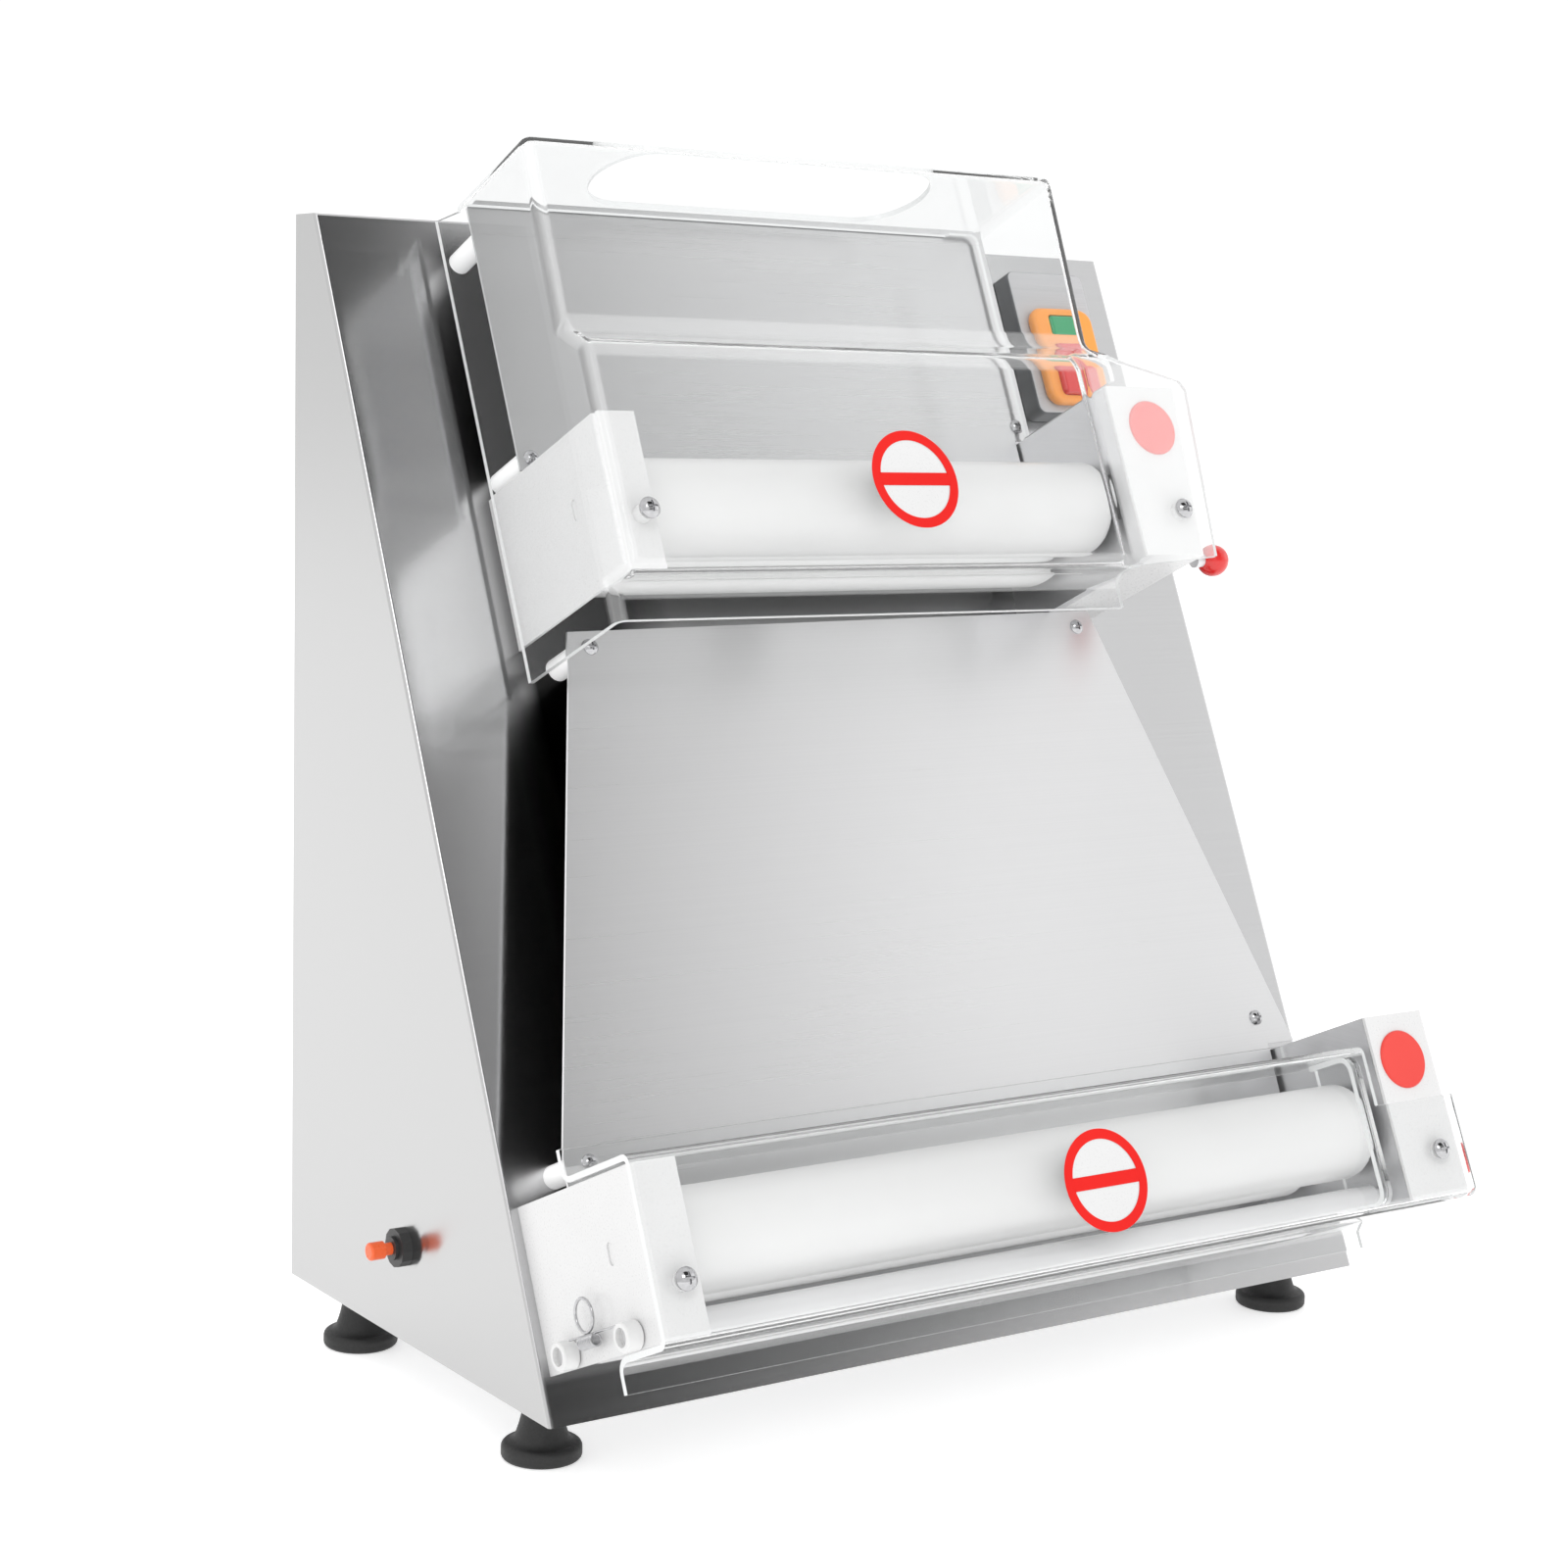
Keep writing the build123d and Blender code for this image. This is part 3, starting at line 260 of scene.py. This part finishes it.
# painted light: a faint glow makes the white standoffs brighter than the light reaching them
set_inputs(standoff_glow, Emission_Color=(1, 1, 1, 1), Emission_Strength=0.3)
scraper_grey = painted("scraper_grey", (0.58, 0.58, 0.585), (0.63, 0.63, 0.635), 0.16, 0.01, 0.5)
red_cap = painted("red_cap", (0.72, 0.035, 0.025), (0.78, 0.050, 0.035), 0.35, 0.02)
rubber = painted("black_rubber", (0.010, 0.010, 0.010), (0.022, 0.022, 0.022), 0.55, 0.35)
SWITCH_PLATE = 0.0138    # how far out from the face the switch's light front plate begins
switch_face = two_tone("switch_housing_plate", (0.06, 0.065, 0.07), (0.46, 0.46, 0.47), SWITCH_PLATE, 0.35)
grey_plastic = painted("slate_plastic", (0.09, 0.10, 0.115), (0.13, 0.14, 0.16), 0.38, 0.2)
orange_plastic = painted("orange_plastic", (0.86, 0.30, 0.045), (0.93, 0.36, 0.06), 0.35, 0.05)
green_plastic = painted("green_plastic", (0.01, 0.27, 0.10), (0.02, 0.34, 0.13), 0.25, 0.02, 0.3)
black_plastic = painted("black_plastic", (0.012, 0.012, 0.013), (0.03, 0.03, 0.03), 0.4, 0.15)
motor_paint = painted("motor_paint", (0.10, 0.12, 0.14), (0.14, 0.16, 0.18), 0.45, 0.2)
clear = clear_sheet("clear_acrylic")
# painted reflection: the right facet veiled white for the studio it mirrors
reflection_veil = reflection_veil_sheet("reflection_veiled_acrylic", 0.82)
# painted highlight: the rounded bends a little whiter, over their real refraction
bend_glint = reflection_veil_sheet("bend_glint_acrylic", 0.90)
edge = painted("acrylic_edge", (0.72, 0.73, 0.73), (0.79, 0.80, 0.80), 0.25, 0.02)

SLOT_MATERIALS = {
    "stainless": steel_body_painted_shade,
    "white_paint": white_paint,
    "steel": machined,
    "white_plastic": white_plastic,
    "clear_plastic": clear,
    "red_plastic": red_gloss,
    "black_rubber": rubber,
    "grey_plastic": grey_plastic,
    "orange_plastic": orange_plastic,
    "green_plastic": green_plastic,
    "black_plastic": black_plastic,
    "motor_paint": motor_paint,
    "screw_steel": screw_steel,
}
OWN = {
    "upper_guide_plate": steel_plate,
    "chute_plate": steel_plate,
    "cover_caps": red_cap,
    "reset_button": reset_red,
    "plate_standoffs": standoff_glow,
    "front_scraper": scraper_grey,
    "rear_scraper": scraper_grey,
    "switch_housing": switch_face,
}
for part in frame["record"]["subparts"]:
    node = nodes[part["node"]]
    material = OWN.get(part["node"], SLOT_MATERIALS[part["material_slot"]])
    for i in range(len(node.material_slots)):
        node.material_slots[i].material = material


# ---------------------------------------------------------------- mesh helpers
def object_from(bm, name, *materials):
    """Turn a bmesh into an object in the scene."""
    mesh = bpy.data.meshes.new(name)
    bm.to_mesh(mesh)
    bm.free()
    for material in materials:
        mesh.materials.append(material)
    obj = bpy.data.objects.new(name, mesh)
    scene.collection.objects.link(obj)
    return obj


def mesh_object(name, bm, material, body):
    """Finish a bmesh as an object that rides on a body."""
    bmesh.ops.recalc_face_normals(bm, faces=bm.faces[:])
    obj = object_from(bm, name, material)
    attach(obj, body)


# ---------------------------------------------------------------- clear guards, formed from one sheet each
SHEET = 0.003
FOLD = radians(35)      # a crease sharper than this is rounded
FLAT, VEILED, BEND, RIM = range(4)    # material slots of a formed sheet
SHEET_MATERIALS = (clear, reflection_veil, bend_glint, edge)


class Formed:
    """Sheet built from flat panels in face coordinates (millimetres) that share their corners."""

    def __init__(self):
        self.bm = bmesh.new()
        self.corners = {}

    def vert(self, x, s, n):
        key = (round(x, 2), round(s, 2), round(n, 2))
        if key not in self.corners:
            self.corners[key] = self.bm.verts.new(world(x / 1000, s / 1000, n / 1000))
        return self.corners[key]

    def panel(self, points, veiled=False):
        face = self.bm.faces.new([self.vert(*p) for p in points])
        face.material_index = VEILED if veiled else FLAT

    def strips(self, columns):
        """Quads between neighbouring columns, each a list of (x, s, n) points from top to bottom."""
        for left, right in zip(columns, columns[1:]):
            for i in range(len(left) - 1):
                self.panel((left[i], right[i], right[i + 1], left[i + 1]))

    def finish(self, name, bend, node):
        """Round the creases, give the sheet its thickness and stand it in for the CAD node."""
        bmesh.ops.recalc_face_normals(self.bm, faces=self.bm.faces[:])
        front = max(self.bm.faces, key=lambda f: f.calc_area() * abs(f.normal.y))
        if front.normal.y > 0:
            bmesh.ops.reverse_faces(self.bm, faces=self.bm.faces[:])
        creases = [e for e in self.bm.edges if len(e.link_faces) == 2 and e.calc_face_angle() > FOLD]
        bmesh.ops.bevel(self.bm, geom=creases, offset=bend, offset_type="OFFSET", segments=5,
                        profile=0.5, affect="EDGES", clamp_overlap=False, material=BEND)
        for f in self.bm.faces:
            f.smooth = True
        obj = object_from(self.bm, name, *SHEET_MATERIALS)
        thick = obj.modifiers.new("sheet", "SOLIDIFY")
        thick.thickness = SHEET
        thick.offset = -1.0
        thick.use_even_offset = True
        thick.material_offset_rim = RIM
        obj.visible_shadow = False
        obj.visible_diffuse = False
        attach(obj, "frame_body")
        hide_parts(node)
        return obj


def smoothstep(t):
    return t * t * (3 - 2 * t)


def bake(obj):
    """Apply an object's modifiers to its mesh."""
    bpy.context.view_layer.update()
    done = bpy.data.meshes.new_from_object(obj.evaluated_get(bpy.context.evaluated_depsgraph_get()))
    obj.modifiers.clear()
    obj.data = done


SLOT_CUT = (0.605, 0.640)      # the cutter passes through the guard's top between these heights


def add_slot(guard, x, n, length, width):
    """Stadium opening cut through the guard's top, with cut edges of its own material."""
    bm = bmesh.new()
    r = width / 2
    half = length / 2 - r
    outline = []
    for centre, start in ((half, -pi / 2), (-half, pi / 2)):
        for i in range(25):
            a = start + pi * i / 24
            outline.append((x + centre + r * cos(a), n + r * sin(a)))
    rings = [[bm.verts.new(world(px / 1000, s, pn / 1000)) for px, pn in outline] for s in SLOT_CUT]
    count = len(outline)
    for i in range(count):
        j = (i + 1) % count
        bm.faces.new((rings[0][i], rings[0][j], rings[1][j], rings[1][i]))
    bm.faces.new(rings[0])
    bm.faces.new(rings[1])
    bmesh.ops.recalc_face_normals(bm, faces=bm.faces[:])
    cutter = object_from(bm, "slot_cutter", edge)
    cut = guard.modifiers.new("slot", "BOOLEAN")
    cut.operation = "DIFFERENCE"
    cut.solver = "EXACT"
    cut.material_mode = "TRANSFER"
    cut.object = cutter
    bake(guard)
    bpy.data.objects.remove(cutter)


def even_shading(obj):
    """Cut edges shade flat, flat panels keep flat highlights and only the bends shade round."""
    bake(obj)
    for face in obj.data.polygons:
        if obj.data.materials[face.material_index] == edge:
            face.use_smooth = False
    shade = obj.modifiers.new("shading", "WEIGHTED_NORMAL")
    shade.keep_sharp = True
    shade.weight = 100


GU_LEFT, GU_RIGHT = -202.0, 141.0
GU_FACE, GU_STEP = 127.0, 124.0
GU_BACK, GU_WALL = 12.0, 39.0    # how far back the left facet and the right wall reach
U_TOP, U_LEDGE, U_FRONT = (623.6, 113.5), (520.0, 109.0), 503.0
U_FOOT, U_LIP = 383.5, 366.0
JOGGLE = [110 + 10 * i / 6 for i in range(7)]    # where the front steps back towards the right
WALL_FOOT = [(509.6, 120.0), (493.5, 120.0), (493.5, GU_WALL)]    # lower end of the right wall


def front_column(x, n):
    """Corners of the lower front, its foot and its lip, where the front stands at level n."""
    slope = (GU_FACE - n) * (U_LEDGE[0] - U_FRONT) / (GU_FACE - U_LEDGE[1])
    return [(x, *U_LEDGE), (x, U_FRONT + slope, n), (x, U_FOOT, n), (x, U_FOOT, 106.0), (x, U_LIP, 106.0)]


upper = Formed()
columns = [front_column(GU_LEFT, GU_FACE)]
columns += [front_column(x, GU_FACE - (GU_FACE - GU_STEP) * smoothstep(i / 6)) for i, x in enumerate(JOGGLE)]
upper.strips(columns)
step_s = columns[-1][1][1]
box_columns = [[(x, U_TOP[0], 36.3 if x < JOGGLE[-1] else GU_WALL), (x, *U_TOP), (x, *U_LEDGE)]
               for x in [GU_LEFT] + JOGGLE + [GU_RIGHT]]
upper.strips(box_columns)
upper.panel([(JOGGLE[-1], *U_LEDGE), (GU_RIGHT, *U_LEDGE), (GU_RIGHT, *WALL_FOOT[0]),
             (GU_RIGHT, step_s, GU_STEP), (JOGGLE[-1], step_s, GU_STEP)])
upper.panel([(JOGGLE[-1], step_s, GU_STEP), (GU_RIGHT, step_s, GU_STEP), (150.0, 503.0, GU_STEP),
             (186.0, 493.5, GU_STEP), (189.5, 488.0, GU_STEP), (180.5, 388.5, GU_STEP),
             (JOGGLE[-1], U_FOOT, GU_STEP)], veiled=True)
upper.panel(box_columns[0][:2] + columns[0] + [(GU_LEFT, U_LIP, GU_BACK), (GU_LEFT, U_TOP[0], GU_BACK)])
upper.panel(box_columns[-1] + [(GU_RIGHT, *p) for p in WALL_FOOT])
upper_shell = upper.finish("upper_guard_shell", 0.0065, "upper_guard")
add_slot(upper_shell, x=-34.3, n=76.7, length=213.0, width=59.5)
even_shading(upper_shell)

GL_LEFT, GL_TAB, GL_RIGHT = -263.0, 200.0, 260.8
GL_FACE, GL_STEP = 117.5, 116.5
L_FOOT, L_TAB, L_LIP, L_BACK = (20.5, 19.8), 76.5, 6.0, 75.5
L_PROFILE = [(123.0, 57.5), (109.5, 57.5), (109.5, GL_FACE), (L_TAB, GL_FACE), (L_FOOT[0], GL_FACE),
             (L_FOOT[1], L_BACK), (L_LIP, L_BACK)]
WRAP = (20.24, 90.0)    # where the wrap round the right end stops, on the foot
lower = Formed()
lower.strips([[(x, *p) for p in L_PROFILE] for x in (GL_LEFT, GL_TAB)])
tab_x = GL_TAB + 4      # the tab steps back over this far
lower.panel([(GL_TAB, L_TAB, GL_FACE), (tab_x, L_TAB, GL_STEP), (tab_x, L_FOOT[0], GL_STEP),
             (GL_TAB, L_FOOT[0], GL_FACE)])
lower.panel([(GL_TAB, L_FOOT[0], GL_FACE), (tab_x, L_FOOT[0], GL_STEP), (tab_x, *WRAP),
             (tab_x, L_FOOT[1], L_BACK), (GL_TAB, L_FOOT[1], L_BACK)])
lower.strips([[(x, L_TAB, GL_STEP), (x, L_FOOT[0], GL_STEP), (x, *WRAP), (x, L_FOOT[1], L_BACK)]
              for x in (tab_x, GL_RIGHT)])
lower.panel([(GL_TAB, L_FOOT[1], L_BACK), (tab_x, L_FOOT[1], L_BACK), (tab_x, L_LIP, L_BACK),
             (GL_TAB, L_LIP, L_BACK)])
lower.panel([(GL_RIGHT, L_TAB, GL_STEP), (GL_RIGHT, L_FOOT[0], GL_STEP), (GL_RIGHT, *WRAP),
             (GL_RIGHT, L_TAB, WRAP[1])])
lower_shell = lower.finish("lower_guard_shell", 0.005, "lower_guard")
even_shading(lower_shell)


def end_wall():
    """Clear end of the lower guard's box, a rounded return behind the front face."""
    outline = []
    s_low, s_high, n_back, n_front, r = 23.5, 106.3, 82.0, 113.8, 9.0
    for s_mid, n_mid, start in ((s_high - r, n_front - r, 0), (s_low + r, n_front - r, pi / 2)):
        for i in range(9):
            a = start + pi / 2 * i / 8
            outline.append((s_mid + r * cos(a), n_mid + r * sin(a)))
    outline.sort(key=lambda p: -p[0])
    wall = Formed()
    path = [(s_high, n_back)] + outline + [(s_low, n_back)]
    strip = [[(x, s, n) for s, n in path] for x in (GL_TAB - 9, GL_TAB - 2.5)]
    wall.strips(strip)
    wall.panel(strip[1])
    piece = wall.finish("lower_guard_end", 0.0006, "lower_guard")
    even_shading(piece)


end_wall()


# ---------------------------------------------------------------- tension spring and pull ring
def spring_piece():
    """Wound wire spring between the scraper collars, hooked at both ends, with a pull ring."""
    data = bpy.data.curves.new("scraper_spring_wire", "CURVE")
    data.dimensions = "3D"
    data.bevel_depth = 0.00055
    data.bevel_resolution = 3
    data.use_fill_caps = True
    x, s = -0.2645, 0.034
    turns, n0, n1, coil = 9, 0.046, 0.060, 0.0030
    steps = turns * 16
    ring_r, ring_n, ring_weight = 0.008, 0.053, 1.45
    path = [world(x, s + coil, n) for n in (0.0352, 0.040, 0.044)]
    for i in range(steps + 1):
        a = 2 * pi * turns * i / steps
        path.append(world(x + coil * sin(a), s + coil * cos(a), n0 + (n1 - n0) * i / steps))
    path += [world(x, s + coil, n) for n in (0.063, 0.070, 0.0798)]
    ring = [world(x, s + 0.0040 + ring_r - ring_r * cos(a), ring_n + ring_r * sin(a))
            for a in (2 * pi * i / 32 for i in range(32))]
    for points, closed, weight in ((path, False, 1.0), (ring, True, ring_weight)):
        spline = data.splines.new("NURBS")
        spline.points.add(len(points) - 1)
        for point, at in zip(spline.points, points):
            point.co = (*at, 1)
            point.radius = weight
        spline.order_u = 4
        spline.use_endpoint_u = not closed
        spline.use_cyclic_u = closed
    obj = bpy.data.objects.new("scraper_spring_wire", data)
    data.materials.append(screw_steel)
    scene.collection.objects.link(obj)
    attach(obj, "frame_body")
    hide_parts("scraper_spring")


spring_piece()


# ---------------------------------------------------------------- safety discs on the guards
FILM, PRINT = 0.0003, 0.0005      # how far the white film and the red print stand off the guard
DISC_STEPS = 96


def disc_label(tag, x, s, n, radius):
    """Plain prohibition disc: white film with a red ring and bar, no pictogram."""
    origin = world(x, s, n)
    across = Vector((1, 0, 0))
    along = Vector((0, ST, CT))
    out = Vector((0, -CT, ST))

    def at(u, v, lift):
        return origin + across * u + along * v + out * lift

    bm = bmesh.new()
    turn = [2 * pi * i / DISC_STEPS for i in range(DISC_STEPS + 1)]
    rim = [bm.verts.new(at(radius * cos(a), radius * sin(a), FILM)) for a in turn[:-1]]
    bm.faces.new(rim)
    mesh_object(f"{tag}_disc", bm, white_paint, "frame_body")
    bm = bmesh.new()
    inner = radius * 0.80
    for a, b in zip(turn, turn[1:]):
        quad = [at(r * cos(t), r * sin(t), PRINT) for r, t in
                ((inner, a), (radius, a), (radius, b), (inner, b))]
        bm.faces.new([bm.verts.new(p) for p in quad])
    half = radius * 0.13
    bar = [at(u, v, PRINT) for u, v in ((-inner, -half), (inner, -half), (inner, half), (-inner, half))]
    bm.faces.new([bm.verts.new(p) for p in bar])
    mesh_object(f"{tag}_ring", bm, red_print, "frame_body")


disc_label("upper_label", -0.0190, 0.4315, 0.127, 0.027)
disc_label("lower_label", 0.0040, 0.0615, 0.1175, 0.026)

# ---------------------------------------------------------------- stage, light and camera
floor_mat, floor_tree, floor_bsdf = new_material("floor")
speck = noise(floor_tree, object_coords(floor_tree, (2, 2, 2)), 1.0, 2.0)
floor_tint = ramp(floor_tree, speck, (0.76, 0.76, 0.76), (0.79, 0.79, 0.79))
floor_tree.links.new(floor_tint, floor_bsdf.inputs["Base Color"])
set_inputs(floor_mat, Roughness=0.7, Emission_Color=(1, 1, 1, 1), Emission_Strength=0.55)
grid = bmesh.new()
bmesh.ops.create_grid(grid, x_segments=2, y_segments=2, size=12.0)
floor = object_from(grid, "floor", floor_mat)

sky = bpy.data.worlds.new("studio")
sky.use_nodes = True
sky.node_tree.nodes["Background"].inputs["Color"].default_value = (1, 1, 1, 1)
sky.node_tree.nodes["Background"].inputs["Strength"].default_value = 1.08
scene.world = sky


def area_light(name, at, target, size, power):
    data = bpy.data.lights.new(name, "AREA")
    data.shape = "RECTANGLE"
    data.size, data.size_y = size
    data.energy = power
    obj = bpy.data.objects.new(name, data)
    obj.location = at
    obj.rotation_euler = (Vector(target) - Vector(at)).to_track_quat("-Z", "Y").to_euler()
    scene.collection.objects.link(obj)
    return obj


area_light("key", (-1.2, -2.2, 2.4), (0, 0, 0.3), (1.2, 1.2), 12)
area_light("fill", (3.2, -1.2, 1.4), (0, 0, 0.3), (1.6, 1.6), 4)


FLAG_LEFT = -0.6


def flag(name, grey, middle, low, high, right=2.3, edge_x=1.24, end_x=2.2):
    """Studio flag hidden from the camera and from diffuse light: it only shows in gloss and through glass.

    It stands between two (y, z) edges. It is grey at its left end, then runs from a middle grey at
    edge_x to white at end_x.
    """
    mat, tree, bsdf = new_material(name)
    place = tree.nodes.new("ShaderNodeSeparateXYZ")
    tree.links.new(object_coords(tree, (1, 1, 1)), place.inputs["Vector"])
    shade = ramp(tree, map_range(tree, place.outputs["X"], edge_x, end_x, 0, 1), (middle,) * 3, (1.0,) * 3)
    left = map_range(tree, place.outputs["X"], edge_x - 0.04, edge_x + 0.04, 0, 1)
    tree.links.new(ramp(tree, left, (grey,) * 3, shade), bsdf.inputs["Base Color"])
    bsdf.inputs["Roughness"].default_value = 0.9
    bm = bmesh.new()
    corners = ((FLAG_LEFT, *low), (right, *low), (right, *high), (FLAG_LEFT, *high))
    bm.faces.new([bm.verts.new(c) for c in corners])
    obj = object_from(bm, name, mat)
    obj.visible_camera = False
    obj.visible_diffuse = False
    obj.visible_shadow = False


flag("flag_low", 0.12, 0.50, (-2.42, 1.46), (-2.05, 2.08))
flag("flag_high", 0.03, 0.45, (-1.96, 2.16), (-0.9, 3.9))
flag("flag_foot", 0.14, 0.20, (-2.9, 0.80), (-2.48, 1.27), 2.6, 1.3, 2.3)

scene.view_settings.view_transform = "Standard"

camera_data = bpy.data.cameras.new("camera")
camera_data.sensor_width = 36.0
camera_data.lens = 67.115
camera_data.clip_start = 0.05
camera_data.clip_end = 60
camera = bpy.data.objects.new("camera", camera_data)
forward = Vector((0.56404788, 0.81508396, -0.13224268))
up_axis = Vector((0.05339856, 0.1238102, 0.99086812))
side = forward.cross(up_axis).normalized()
up_axis = side.cross(forward).normalized()
camera.matrix_world = Matrix((
    (side.x, up_axis.x, -forward.x, -0.93558),
    (side.y, up_axis.y, -forward.y, -1.29131),
    (side.z, up_axis.z, -forward.z, 0.51830),
    (0, 0, 0, 1)))
scene.collection.objects.link(camera)
scene.camera = camera
